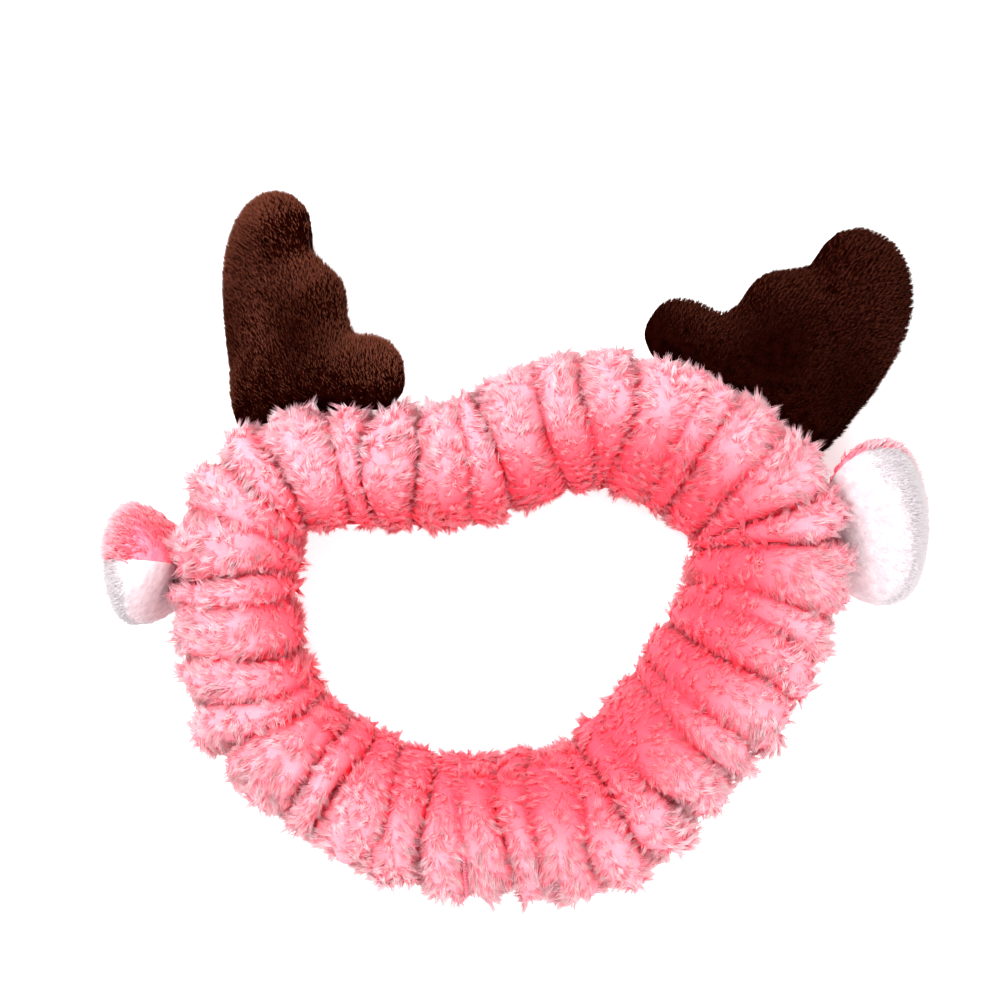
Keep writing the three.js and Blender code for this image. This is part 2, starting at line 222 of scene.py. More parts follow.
def closed_curve(points, steps):
    """Smooth closed curve through points: centripetal spans, as evenly spaced stations."""
    points = np.array(points)
    count = len(points)
    fine = []
    for index in range(count):
        p = [points[(index + shift) % count] for shift in (-1, 0, 1, 2)]
        gaps = [np.linalg.norm(p[k + 1] - p[k]) ** 0.5 for k in range(3)]
        leave = (p[1] - p[0]) / gaps[0] - (p[2] - p[0]) / (gaps[0] + gaps[1]) + (p[2] - p[1]) / gaps[1]
        reach = (p[2] - p[1]) / gaps[1] - (p[3] - p[1]) / (gaps[1] + gaps[2]) + (p[3] - p[2]) / gaps[2]
        t = np.linspace(0, 1, SPAN_STEPS, endpoint=False)[:, None]
        fine.append(
            (2 * t**3 - 3 * t**2 + 1) * p[1] + (t**3 - 2 * t**2 + t) * leave * gaps[1]
            + (-2 * t**3 + 3 * t**2) * p[2] + (t**3 - t**2) * reach * gaps[1]
        )
    fine = np.vstack([*fine, fine[0][:1]])
    along = np.concatenate([[0], np.cumsum(np.linalg.norm(np.diff(fine, axis=0), axis=1))])
    places = np.linspace(0, along[-1], steps, endpoint=False)
    return np.stack([np.interp(places, along, fine[:, k]) for k in (0, 1)], axis=1), along[-1]


STATIONS = 1440
RUN_REACH = 7
middle_line, loop_length = closed_curve(
    [(x * LOOP_WIDTH / 2, y * LOOP_DEPTH / 2) for x, y in LOOP_LIE], STATIONS
)
run = np.roll(middle_line, -RUN_REACH, axis=0) - np.roll(middle_line, RUN_REACH, axis=0)
outward_line = unit(np.stack([run[:, 1], -run[:, 0]], axis=1))
lean_line = np.radians(LEAN_MEAN + LEAN_SWING * np.cos(
    np.arctan2(middle_line[:, 1], middle_line[:, 0]) - math.radians(LEAN_TURN)
))


def section(angle, half_thickness, half_width):
    """Flattened round section: out from the loop, and up along the tube's width."""
    power = 2 / TUBE_SQUARENESS
    across, up = np.cos(angle), np.sin(angle)
    return (
        half_thickness * np.sign(across) * np.abs(across) ** power,
        half_width * np.sign(up) * np.abs(up) ** power,
    )


corner_angles = np.linspace(-math.pi + SECTION_NICK, math.pi - SECTION_NICK, SECTION_CORNERS)
corner_out, corner_up = section(corner_angles, TUBE_THICKNESS / 2, TUBE_WIDTH / 2)
corner_heights = np.sort(
    corner_up * np.cos(lean_line)[:, None] - corner_out * np.sin(lean_line)[:, None], axis=1
)
height_line = -corner_heights[:, 1] - REST_FLAT


def around(line, share):
    """Value of a table of stations at a share of the way round."""
    place = (share % 1) * STATIONS
    low = np.floor(place).astype(int) % STATIONS
    part = place - np.floor(place)
    part = part[..., None] if line.ndim > 1 else part
    return line[low] * (1 - part) + line[(low + 1) % STATIONS] * part


gather_tone = random.random((4, GATHERS + 1))
gather_tone[:, GATHERS] = gather_tone[:, 0]


def crease_share(gather, angle):
    """Where the crease before a gather runs: it wanders as it goes round the tube.

    The first crease only wanders, as the closing seam's thread lies along it."""
    wrapped = gather % GATHERS
    start = FIRST_GATHER + (gather + GATHER_UNEVEN * np.sin(2.4 * wrapped)) / GATHERS
    tone = gather_tone[0][wrapped] * 2 * math.pi
    wander = CREASE_WANDER * np.sin(angle + 6 * math.pi * start)
    wander += np.where(wrapped == 0, 0, CREASE_RIPPLE) * np.sin(2 * angle + tone)
    return start + wander / loop_length


def gather_phase(share, angle):
    """Which gather a point lies in, and how far across it, from 0 at one crease to 1 at the next."""
    turned = (share - FIRST_GATHER) % 1
    gather = np.floor(turned * GATHERS).astype(int) - 1
    for _ in range(3):
        later = (share - crease_share(gather + 1, angle) + 0.5) % 1 - 0.5 >= 0
        gather = np.where(later, gather + 1, gather)
    begin = (share - crease_share(gather, angle) + 0.5) % 1 - 0.5
    span = (crease_share(gather + 1, angle) - crease_share(gather, angle) + 0.5) % 1 - 0.5
    return gather % GATHERS, np.clip(begin / span, 0, 1)


lump_turns = random.integers(18, 58, 8)
lump_rounds = random.integers(-5, 6, 8)
lump_starts = random.uniform(0, 2 * math.pi, 8)


def lumps(share, angle):
    """Uneven swelling of the cloth that owes nothing to the gathers."""
    waves = 2 * math.pi * share[..., None] * lump_turns + angle[..., None] * lump_rounds + lump_starts
    return np.sin(waves).mean(axis=-1) * 3 * LUMP_HEIGHT


def puff_height(phase):
    """How far the cloth puffs up across a gather: 0 in its creases, 1 at its crown."""
    return (1 - np.abs(2 * phase - 1) ** PUFF_SQUARENESS) ** PUFF_ROUNDING


def cloth_point(share, angle):
    """Point of the cover's cloth, under the pile, before the loop is put in its place."""
    gather, phase = gather_phase(share, angle)
    inside = np.clip(-np.cos(angle), 0, 1) ** 2
    depth = CREASE_DEPTH * (1 - inside) + CREASE_DEPTH_INSIDE * inside
    crease = np.where(phase < 0.5, gather, (gather + 1) % GATHERS)
    strong = 0.6 + 0.6 * gather_tone[1][crease] + 0.35 * np.sin(angle + 9 * gather_tone[2][crease])
    strong = np.where(crease == 0, SEAM_CREASE, strong)
    puff = puff_height(phase)
    fold = np.clip(np.sin(2 * angle + 7 * gather_tone[3][gather]), 0, 1)
    minor_crease = np.exp(-(((phase - 0.5 - 0.2 * np.sin(angle)) / 0.1) ** 2))
    minor = fold * MINOR_FOLD * minor_crease * (1 - inside)
    swell = SWELL_UNEVEN * (gather_tone[2][gather] - 0.5) * puff
    inset = PILE_HEIGHT + depth * strong * (1 - puff) + minor - swell
    inset = inset + np.clip(lumps(share, angle), -LUMP_CAP, LUMP_CAP) * (1 - inside)
    out, up = section(angle, TUBE_THICKNESS / 2 - inset, TUBE_WIDTH / 2 - inset)
    lean = around(lean_line, share)
    place = around(middle_line, share)
    normal = around(outward_line, share)
    level = out * np.cos(lean) + up * np.sin(lean)
    height = around(height_line, share) + up * np.cos(lean) - out * np.sin(lean)
    plan = place + normal * level[..., None]
    return np.concatenate([plan, np.maximum(height, CLOTH_OFF_TABLE)[..., None]], axis=-1)


# The loop is moved, level with the table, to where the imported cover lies.
cover_low, cover_high = (np.array(corner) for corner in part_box("band_cover"))
cover_centre = (cover_low + cover_high) / 2
rough = cloth_point(*np.meshgrid(np.arange(720) / 720, np.linspace(-math.pi, math.pi, 48), indexing="ij"))
rough_centre = (rough.min(axis=(0, 1)) + rough.max(axis=(0, 1))) / 2
loop_place = np.array([cover_centre[0] - rough_centre[0], cover_centre[1] - rough_centre[1], 0])


def band_point(share, angle):
    return cloth_point(share, angle) + loop_place


def band_frame(share, angle):
    """Point, outward normal, direction along the loop and direction round the tube."""
    step_share, step_angle = 0.6 * MM / loop_length, 0.02
    place = band_point(share, angle)
    along = band_point(share + step_share, angle) - band_point(share - step_share, angle)
    across = band_point(share, angle + step_angle) - band_point(share, angle - step_angle)
    normal = unit(np.cross(along, across))
    return place, normal, unit(along), unit(across)


def new_piece(name, points, faces, body, material):
    """A piece made of points and faces, with its finish, that rides on a body."""
    mesh = bpy.data.meshes.new(name)
    mesh.from_pydata(points.tolist(), [], faces)
    mesh.update()
    piece = bpy.data.objects.new(name, mesh)
    scene.collection.objects.link(piece)
    mesh.materials.append(material)
    mesh.shade_smooth()
    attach(piece, body)
    return piece


AROUND_STEPS, ALONG_STEPS = 96, 1040
share_grid, angle_grid = np.meshgrid(
    np.arange(ALONG_STEPS) / ALONG_STEPS,
    -math.pi + np.arange(AROUND_STEPS) * 2 * math.pi / AROUND_STEPS, indexing="ij",
)
band_points = band_point(share_grid, angle_grid).reshape(-1, 3)
row = np.arange(ALONG_STEPS)[:, None] * AROUND_STEPS
next_row = (np.arange(ALONG_STEPS)[:, None] + 1) % ALONG_STEPS * AROUND_STEPS
column = np.arange(AROUND_STEPS)[None, :]
next_column = (column + 1) % AROUND_STEPS
band_faces = np.stack(
    [row + column, next_row + column, next_row + next_column, row + next_column], axis=-1
).reshape(-1, 4)


def painted_gather_shade(share, angle):
    """Painted shade among the gathers: 0 on a crown, 1 in a crease, more on the inner side of the tube, which
    less light reaches.
    """
    crease = 1 - puff_height(gather_phase(share, angle)[1])
    inner = np.clip(-np.cos(angle) - INNER_SHADE_START, 0, 1)
    return np.clip(crease**1.2 + INNER_PAINTED_SHADE * inner, 0, 1)


GLOW_DEPTH = 2 * MM


def pile_material(name, root, body, tip, crease, sheen, glow=0.3):
    """Dyed pile, mottled from tuft to tuft, with painted shade: darker at the roots and in creases, paler at
    the tips.

    The strand attribute gives how near the tip a point is, the tone of its tuft and its painted shade, which
    the crease colour multiplies in."""
    material = new_material(name, 0.8, sheen, (1, *crease[1:], 1))
    shader = material.node_tree.nodes["Principled BSDF"]
    shader.inputs["Specular IOR Level"].default_value = 0
    shader.inputs["Subsurface Weight"].default_value = glow
    shader.inputs["Subsurface Radius"].default_value = (1, 0.4, 0.35)
    shader.inputs["Subsurface Scale"].default_value = GLOW_DEPTH
    strand = node(material, "ShaderNodeAttribute", {"attribute_name": "strand"})
    parts = node(material, "ShaderNodeSeparateColor", Color=strand.outputs["Color"])
    mottle = noise(material, 900, 2)
    add = {"operation": "MULTIPLY_ADD"}
    height = node(material, "ShaderNodeMath", add, i0=mottle, i1=0.25, i2=parts.outputs["Red"])
    tuft = node(material, "ShaderNodeMath", add, i0=parts.outputs["Green"], i1=0.45, i2=height.outputs[0])
    # Painted shade: the ramp runs darker towards the roots, and the crease colour is multiplied in as far as
    # the strand's shade says.
    dye_and_painted_shade = ramp(material, tuft.outputs[0], [(0.2, root), (0.7, body), (0.96, tip)])
    painted_shade_mix = node(material, "ShaderNodeMix", {"data_type": "RGBA", "blend_type": "MULTIPLY"})
    painted_shade_mix.inputs[7].default_value = (*crease, 1)
    material.node_tree.links.new(dye_and_painted_shade, painted_shade_mix.inputs[6])
    material.node_tree.links.new(parts.outputs["Blue"], painted_shade_mix.inputs[0])
    finish_material(material, painted_shade_mix.outputs[2], mottle, 0.3)
    return material


# The coral fleece's last colour multiplies in the painted shade of creases and of the tube's inner side.
coral_fleece = pile_material(
    "coral_fleece", srgb(251, 112, 128), srgb(255, 150, 163), srgb(255, 192, 200), (0.99, 0.24, 0.31),
    0.35, 0.6,
)
# The cloth seen between the strands takes the shaded colour near the roots and the shade of the gathers, both
# painted shade.
CLOTH_TONE = (0.3, 0.4)
band_cloth = new_piece("band_cloth", band_points, band_faces.tolist(), "band", coral_fleece)
cloth_shade = np.ones((ALONG_STEPS * AROUND_STEPS, 4))
cloth_shade[:, :2] = CLOTH_TONE
cloth_shade[:, 2] = painted_gather_shade(share_grid, angle_grid).reshape(-1)
cloth_colours = band_cloth.data.color_attributes.new("strand", "FLOAT_COLOR", "POINT")
cloth_colours.data.foreach_set("color", cloth_shade.reshape(-1))
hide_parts("band_cover")

# ---------------------------------------------------------------------------------------------
# The pile: tufts of fine fibres that stand out of the fleece. Each tuft is a handful of tapering
# strands whose tips lean together. They part at the crown of each puff and lie down to its creases.
# ---------------------------------------------------------------------------------------------

BAND_TUFTS = 16500
STRANDS_PER_TUFT = 15
PILE_LENGTH = 5.3 * MM
PILE_RADIUS = 0.2 * MM
BAND_PILE_PIECES = 8
TUFT_SPREAD = 0.85 * MM
TUFT_CLOSING = 0.9
ROOT_SUNK = 0.5 * MM
PILE_OFF_TABLE = 0.1 * MM
KNEE_TONE = 0.55


def strand_mesh(name, root, middle, tip, radius, shade, bent=True):
    """Closed three-sided strands from root to tip; bent ones have a knee at their middle.

    The colour attribute holds how near the tip a point is, then its tuft's tone and its painted shade."""
    rings = [root, middle] if bent else [root]
    count, size, top = len(root), 3 * len(rings) + 1, 3 * len(rings) - 3
    lean = unit(tip - root)
    side = unit(np.cross(lean, unit(random.normal(size=(count, 3)))))
    other = np.cross(lean, side)
    points = np.empty((count, size, 3))
    pattern = [[0, 2, 1]]
    cell = [[(0, 0), (1, 0), (0.5, 0.04)]]
    for corner in range(3):
        turn = 2 * math.pi * corner / 3
        spoke = (math.cos(turn) * side + math.sin(turn) * other) * radius[:, None]
        for level, ring in enumerate(rings):
            points[:, 3 * level + corner] = ring + spoke * (1 - 0.15 * level)
        after = (corner + 1) % 3
        left, right = corner / 3, (corner + 1) / 3
        if bent:
            pattern += [[corner, after, after + 3], [corner, after + 3, corner + 3]]
            cell += [
                [(left, 0.05), (right, 0.05), (right, 0.5)],
                [(left, 0.05), (right, 0.5), (left, 0.5)],
            ]
        pattern.append([corner + top, after + top, top + 3])
        cell.append([(left, 0.5), (right, 0.5), (left, 1)])
    points[:, -1] = tip
    points[..., 2] = np.maximum(points[..., 2], PILE_OFF_TABLE)
    faces = (np.arange(count)[:, None, None] * size + np.array(pattern)[None]).reshape(-1, 3)
    mesh = bpy.data.meshes.new(name)
    mesh.vertices.add(count * size)
    mesh.vertices.foreach_set("co", points.reshape(-1))
    mesh.loops.add(len(faces) * 3)
    mesh.loops.foreach_set("vertex_index", faces.reshape(-1).astype(np.int32))
    mesh.polygons.add(len(faces))
    mesh.polygons.foreach_set("loop_start", np.arange(0, len(faces) * 3, 3, dtype=np.int32))
    mesh.update(calc_edges=True)
    mesh.validate()
    mesh.shade_smooth()
    columns = math.ceil(math.sqrt(count))
    corner_of = np.array([np.arange(count) % columns, np.arange(count) // columns]).T[:, None, None]
    cells = (corner_of + 0.08 + 0.84 * np.array(cell)[None]) / columns
    mesh.uv_layers.new(name="OFBake").data.foreach_set("uv", cells.reshape(-1))
    tones = np.ones((count, size, 4))
    tones[..., 0] = 0
    tones[:, 3:6, 0] = KNEE_TONE
    tones[:, -1, 0] = 1
    tones[..., 1:3] = shade[:, None]
    mesh.color_attributes.new("strand", "FLOAT_COLOR", "POINT").data.foreach_set("color", tones.reshape(-1))
    return mesh


def pile_piece(name, body, material, strands, bent=True):
    """A piece of standing pile: its strands root in the cloth below."""
    piece = bpy.data.objects.new(name, strand_mesh(name, *strands, bent=bent))
    piece.data.materials.append(material)
    scene.collection.objects.link(piece)
    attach(piece, body)
    return piece


def tuft_strands(place, normal, comb, length, count, spread, gather_in, radius, shade):
    """Strands of tufts: their roots are spread round each place and their tips lean together."""
    total = len(place) * count
    place, normal, comb, shade = (np.repeat(values, count, axis=0) for values in (place, normal, comb, shade))
    length = np.repeat(length, count) * random.uniform(0.8, 1.1, total)
    offset = random.normal(size=(total, 3)) * spread
    offset -= normal * np.sum(offset * normal, axis=1, keepdims=True)
    root = place + offset - normal * ROOT_SUNK
    rise = unit(0.6 * normal + 0.8 * comb + random.normal(scale=0.1, size=(total, 3)))
    lie = unit(0.12 * normal + comb + random.normal(scale=0.12, size=(total, 3)))
    middle = root + rise * (0.5 * length)[:, None] - offset * gather_in * 0.4
    tip = middle + lie * (0.6 * length)[:, None] - offset * gather_in * 0.6
    radii = radius * random.uniform(0.75, 1.2, total)
    shade = shade.copy()
    shade[:, 0] = np.clip(shade[:, 0] + random.normal(scale=0.12, size=total), 0, 1)
    return root, middle, tip, radii, shade


def even_places(tufts):
    """Tuft places spread evenly over the cover, as share and angle, by the area of small cells."""
    cells_along, cells_round = 360, 60
    shares, angles = np.meshgrid(
        np.arange(cells_along) / cells_along,
        -math.pi + (np.arange(cells_round) + 0.5) * 2 * math.pi / cells_round, indexing="ij",
    )
    step_share, step_angle = 0.5 / cells_along, math.pi / cells_round
    along = band_point(shares + step_share, angles) - band_point(shares - step_share, angles)
    across = band_point(shares, angles + step_angle) - band_point(shares, angles - step_angle)
    area = np.linalg.norm(np.cross(along, across), axis=-1).reshape(-1)
    heap = np.cumsum(area) / area.sum()
    picks = np.searchsorted(heap, (np.arange(tufts) + random.random(tufts)) / tufts)
    share = shares.reshape(-1)[picks] + (random.random(tufts) - 0.5) / cells_along
    angle = angles.reshape(-1)[picks] + (random.random(tufts) - 0.5) * 2 * math.pi / cells_round
    return share, angle


def drift(points, seed, size):
    """A smooth random field, of patches about as large as a size."""
    waves = np.random.default_rng(seed).normal(size=(9, 3)) / size
    starts = np.random.default_rng(seed + 1).uniform(0, 2 * math.pi, 9)
    return np.sin(points @ waves.T + starts).mean(axis=1) * 3


tuft_share, tuft_angle = even_places(BAND_TUFTS)
place, normal, along, across = band_frame(tuft_share, tuft_angle)
gather, phase = gather_phase(tuft_share, tuft_angle)
inside = np.clip(-np.cos(tuft_angle), 0, 1)
puff = puff_height(phase)
comb = unit(
    along * (0.85 * (2 * phase - 1) + 0.6 * drift(place, 11, 5 * MM))[:, None]
    + across * (0.6 * drift(place, 23, 6 * MM) - 0.45)[:, None]
    + random.normal(scale=0.24, size=place.shape)
)
length = PILE_LENGTH * (1 - 0.2 * inside) * (0.5 + 0.5 * puff) * random.uniform(0.85, 1.15, BAND_TUFTS)
# A tuft's tone is random, and lighter on the outer side of the tube: painted light where the light falls.
tone = 0.75 * random.random(BAND_TUFTS) + 0.25 * np.clip(np.cos(tuft_angle), 0, 1)
shade = np.stack([tone, painted_gather_shade(tuft_share, tuft_angle)], axis=1)
strands = tuft_strands(
    place, normal, comb, length, STRANDS_PER_TUFT, TUFT_SPREAD, TUFT_CLOSING, PILE_RADIUS, shade
)

strand_share = np.repeat(tuft_share % 1, STRANDS_PER_TUFT)
for number in range(BAND_PILE_PIECES):
    low, high = number / BAND_PILE_PIECES, (number + 1) / BAND_PILE_PIECES
    here = (strand_share >= low) & (strand_share < high)
    strands_here = [values[here] for values in strands]
    pile_piece(f"band_pile_{number + 1}", "band", coral_fleece, strands_here, bent=False)

# ---------------------------------------------------------------------------------------------
# What holds it together: sewing threads, the elastic and the wadding.
# ---------------------------------------------------------------------------------------------


def thread_material(name, dark, light):
    """Spun thread: its plies show as fine slanting bands."""
    material = new_material(name, 0.6, 0.2)
    where = node(material, "ShaderNodeTexCoord").outputs["Object"]
    bands = {"bands_direction": "DIAGONAL"}
    plies = node(material, "ShaderNodeTexWave", bands, Vector=where, Scale=420.0, Distortion=1.0)
    tone = ramp(material, plies.outputs["Fac"], [(0.2, dark), (0.8, light)])
    finish_material(material, tone, plies.outputs["Fac"], 0.6, 0.1 * MM)
    return material


pink_thread = thread_material("pink_thread", srgb(205, 70, 95), srgb(240, 130, 150))
brown_thread = thread_material("brown_thread", srgb(20, 8, 6), srgb(58, 28, 20))
white_thread = thread_material("white_thread", srgb(200, 198, 200), srgb(245, 244, 245))

elastic_webbing = new_material("elastic_webbing", 0.7)
where = node(elastic_webbing, "ShaderNodeTexCoord").outputs["Object"]
ribs = node(elastic_webbing, "ShaderNodeTexWave", {"bands_direction": "Z"}, Vector=where, Scale=110.0)
rib_tone = ramp(elastic_webbing, ribs.outputs["Fac"], [
    (0.2, srgb(205, 203, 204)), (0.8, srgb(246, 245, 245)),
])
finish_material(elastic_webbing, rib_tone, ribs.outputs["Fac"], 0.7)

polyester_wadding = new_material("polyester_wadding", 1.0, 0.3)
fibres = noise(polyester_wadding, 350, 6)
wadding_tone = ramp(polyester_wadding, fibres, [(0.3, srgb(214, 213, 208)), (0.7, srgb(250, 250, 247))])
finish_material(polyester_wadding, wadding_tone, fibres, 1.0, 1 * MM)

finishes = {
    "pink_thread": pink_thread, "brown_thread": brown_thread, "white_thread": white_thread,
    "elastic_webbing": elastic_webbing, "polyester_wadding": polyester_wadding,
}


def slot_of(node_name):
    """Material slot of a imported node."""
    return next(part["material_slot"] for part in frame["record"]["subparts"] if part["node"] == node_name)


for part in frame["record"]["subparts"]:
    if part["material_slot"] in finishes:
        mesh = frame["nodes"][part["node"]].data
        mesh.materials.clear()
        mesh.materials.append(finishes[part["material_slot"]])

THREAD_RADIUS = 0.3 * MM
THREAD_SUNK = 0.25 * MM
THREAD_SIDES = 6


def thread_piece(name, line, side, other, body, node_name):
    """A closed loop of thread along a line, with two directions across it at each of its points."""
    turns = np.arange(THREAD_SIDES) * 2 * math.pi / THREAD_SIDES
    ring = np.cos(turns)[None, :, None] * side[:, None] + np.sin(turns)[None, :, None] * other[:, None]
    points = (line[:, None] + THREAD_RADIUS * ring).reshape(-1, 3)
    start = np.arange(len(line))[:, None] * THREAD_SIDES
    following = (np.arange(len(line))[:, None] + 1) % len(line) * THREAD_SIDES
    here, beside = np.arange(THREAD_SIDES)[None], (np.arange(THREAD_SIDES)[None] + 1) % THREAD_SIDES
    faces = np.stack([start + here, following + here, following + beside, start + beside], axis=-1)
    slot = slot_of(node_name)
    thread = new_piece(name, points, faces.reshape(-1, 4).tolist(), body, finishes[slot])
    shell = bmesh.new()
    shell.from_mesh(thread.data)
    bmesh.ops.recalc_face_normals(shell, faces=shell.faces)
    shell.to_mesh(thread.data)
    shell.free()
    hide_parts(node_name)


# The lengthwise seam runs in the pile along the inner side of the tube, and follows its gathers.
seam_share = np.arange(STATIONS) / STATIONS
seam_line, seam_normal, _, seam_across = band_frame(seam_share, np.full(STATIONS, math.pi))
seam_line = seam_line - seam_normal * THREAD_SUNK
thread_piece("band_seam_thread", seam_line, seam_normal, seam_across, "band", "band_long_seam")

# ---------------------------------------------------------------------------------------------
# Antlers and ears: two cut panels each, sewn edge to edge inside out, turned, filled with wadding
# and closed at the root. The wadding swells the panels and the edge seam draws them in.
# ---------------------------------------------------------------------------------------------

STUFFED_VOXEL = 1.5 * MM
SWELL_CAP = 2.5 * MM
ROOT_BLEND = 14 * MM
FLARE_REACH = 12 * MM
SETTLE_ROUNDS = 6
SWELL_PRESSURE = 4
SWELL_STEPS = 20
CLOTH_STIFFNESS = 12
CLOTH_BENDING = 0.3
CORE_SHARE = 0.94
WELD = 0.01 * MM


def sewn_frame(name, upper):
    """Root point of a stuffed piece, and its directions: out from the band, aside, and off its seam."""
    joint = next(j for j in frame["record"]["behaviour"]["joints"] if j["child"] == name)
    top, bottom = (
        (np.array(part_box(f"{name}_{part}")).sum(axis=0)) / 2 for part in (upper, "back")
    )
    aside = -unit(np.array(joint["axis"]))
    off = top - bottom
    off = unit(off - aside * (off @ aside))
    return np.array(joint["pos_m"]), np.cross(aside, off), aside, off


def keep_outer_shell(mesh):
    """Deletes the surfaces of closed hollows, which are smaller than the outside."""
    form = bmesh.new()
    form.from_mesh(mesh)
    left = set(form.verts)
    shells = []
    while left:
        shell, edge = set(), [left.pop()]
        while edge:
            vertex = edge.pop()
            shell.add(vertex)
            for other in (link.other_vert(vertex) for link in vertex.link_edges):
                if other in left:
                    left.discard(other)
                    edge.append(other)
        shells.append(shell)
    biggest = max(shells, key=len)
    bmesh.ops.delete(form, geom=[v for v in form.verts if v not in biggest], context="VERTS")
    form.to_mesh(mesh)
    form.free()


def swell_with_wadding(piece):
    """A short cloth simulation under pressure, with each point's travel capped."""
    start = np.array([v.co for v in piece.data.vertices])
    cloth = piece.modifiers.new("cloth", "CLOTH")
    cloth.settings.use_pressure = True
    cloth.settings.uniform_pressure_force = SWELL_PRESSURE
    cloth.settings.effector_weights.gravity = 0
    cloth.settings.quality = 4
    cloth.settings.tension_stiffness = CLOTH_STIFFNESS
    cloth.settings.compression_stiffness = CLOTH_STIFFNESS
    cloth.settings.bending_stiffness = CLOTH_BENDING
    cloth.point_cache.frame_start, cloth.point_cache.frame_end = 1, SWELL_STEPS
    for step in range(1, SWELL_STEPS + 1):
        scene.frame_set(step)
    seen = piece.evaluated_get(bpy.context.evaluated_depsgraph_get())
    moved = np.array([v.co for v in seen.data.vertices])
    piece.modifiers.remove(cloth)
    scene.frame_set(1)
    travel = moved - start
    reach = np.linalg.norm(travel, axis=1, keepdims=True)
    capped = start + travel * np.minimum(1, SWELL_CAP / np.maximum(reach, 1e-9))
    piece.data.vertices.foreach_set("co", capped.reshape(-1))
    piece.data.update()


def wadding_core(body, root, axes, middle, grow, shift):
    """The wadding inside a stuffed form, drawn in and shifted as the form is."""
    core = bmesh.new()
    core.from_mesh(frame["nodes"][f"{body}_wadding"].data)
    bmesh.ops.remove_doubles(core, verts=core.verts, dist=WELD)
    core_mesh = bpy.data.meshes.new(f"{body}_wadding_core")
    core.to_mesh(core_mesh)
    core.free()
    core_lie = (np.array([v.co for v in core_mesh.vertices]) - root) @ axes.T
    core_lie = middle + (core_lie - middle) * np.minimum(grow, 1) * CORE_SHARE
    core_lie[:, :2] -= shift
    core_mesh.vertices.foreach_set("co", (root + core_lie @ axes).reshape(-1))
    core_mesh.materials.append(polyester_wadding)
    core_piece = bpy.data.objects.new(f"{body}_wadding_core", core_mesh)
    scene.collection.objects.link(core_piece)
    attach(core_piece, body)
    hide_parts(f"{body}_wadding")


def stuffed_form(body, parts, pile, grow, shift, flare, tuck):
    """The swollen form of a stuffed piece under its pile, from its two panels and its wadding.

    It fills the outline its panels were cut to, times a growth along, aside and through its seam.
    Its root flares and is tucked some way into the band's pile, where the root stitches hold it.
    The wadding follows."""
    root, out, aside, off = sewn_frame(body, parts[0])
    panels = [frame["nodes"][f"{body}_{part}"].data for part in parts]
    form = bmesh.new()
    for panel in panels:
        form.from_mesh(panel)
    bmesh.ops.remove_doubles(form, verts=form.verts, dist=WELD)
    mesh = bpy.data.meshes.new(f"{body}_form")
    form.to_mesh(mesh)
    form.free()
    axes = np.array([out, aside, off])
    cut = (np.array([v.co for panel in panels for v in panel.vertices]) - root) @ axes.T
    piece = bpy.data.objects.new(f"{body}_form", mesh)
    scene.collection.objects.link(piece)
    bpy.ops.object.select_all(action="DESELECT")
    piece.select_set(True)
    bpy.context.view_layer.objects.active = piece
    remesh = piece.modifiers.new("remesh", "REMESH")
    remesh.mode = "VOXEL"
    remesh.voxel_size = STUFFED_VOXEL
    bpy.ops.object.modifier_apply(modifier="remesh")
    keep_outer_shell(piece.data)
    settle = piece.modifiers.new("settle", "SMOOTH")
    settle.iterations = SETTLE_ROUNDS
    bpy.ops.object.modifier_apply(modifier="settle")
    swell_with_wadding(piece)
    round_off = piece.modifiers.new("round_off", "SUBSURF")
    round_off.levels = round_off.render_levels = 1
    bpy.ops.object.modifier_apply(modifier="round_off")
    lie = (np.array([v.co for v in piece.data.vertices]) - root) @ axes.T
    low, high = lie.min(axis=0), lie.max(axis=0)
    goal_low, goal_high = cut.min(axis=0) + pile, cut.max(axis=0) - pile
    middle, half = (goal_low + goal_high) / 2, (goal_high - goal_low) / 2 * np.array(grow)
    lie = middle + (lie - (low + high) / 2) / (high - low) * 2 * half
    lie[:, :2] -= shift
    near_root = np.clip(1 - (lie[:, 0] - lie[:, 0].min()) / ROOT_BLEND, 0, 1)
    lie[:, 1] += flare * near_root * np.clip(lie[:, 1] - middle[1], -FLARE_REACH, FLARE_REACH)
    lie[:, 0] -= tuck * near_root
    piece.data.vertices.foreach_set("co", (root + lie @ axes).reshape(-1))
    piece.data.update()
    wadding_core(body, root, axes, middle, grow, shift)
    return piece


def sewing_thread(form, body, root, off):
    """The thread of the edge seam: it lies in the groove where the two panels of a form meet."""
    cut_form = bmesh.new()
    cut_form.from_mesh(form.data)
    cut = bmesh.ops.bisect_plane(
        cut_form, geom=[*cut_form.verts, *cut_form.edges, *cut_form.faces], plane_co=root, plane_no=off,
    )
    left = {e for e in cut["geom_cut"] if isinstance(e, bmesh.types.BMEdge)}
    rims = []
    while left:
        edge = left.pop()
        rim = [edge.verts[0], edge.verts[1]]
        while True:
            onward = next((e for e in rim[-1].link_edges if e in left), None)
            if onward is None:
                break
            left.discard(onward)
            rim.append(onward.other_vert(rim[-1]))
        rims.append([np.array(v.co) for v in rim[:-1]])
    cut_form.free()
    line = np.array(max(rims, key=len))
    for _ in range(4):
        line = (np.roll(line, 1, axis=0) + 2 * line + np.roll(line, -1, axis=0)) / 4
    run = unit(np.roll(line, -1, axis=0) - np.roll(line, 1, axis=0))
    inward = np.cross(off, run)
    inward *= np.sign(np.sum(inward * (line.mean(axis=0) - line), axis=1).sum())
    line += inward * THREAD_SUNK
    offs = np.broadcast_to(off, line.shape)
    thread_piece(f"{body}_seam_thread", line, inward, offs, body, f"{body}_edge_seam")


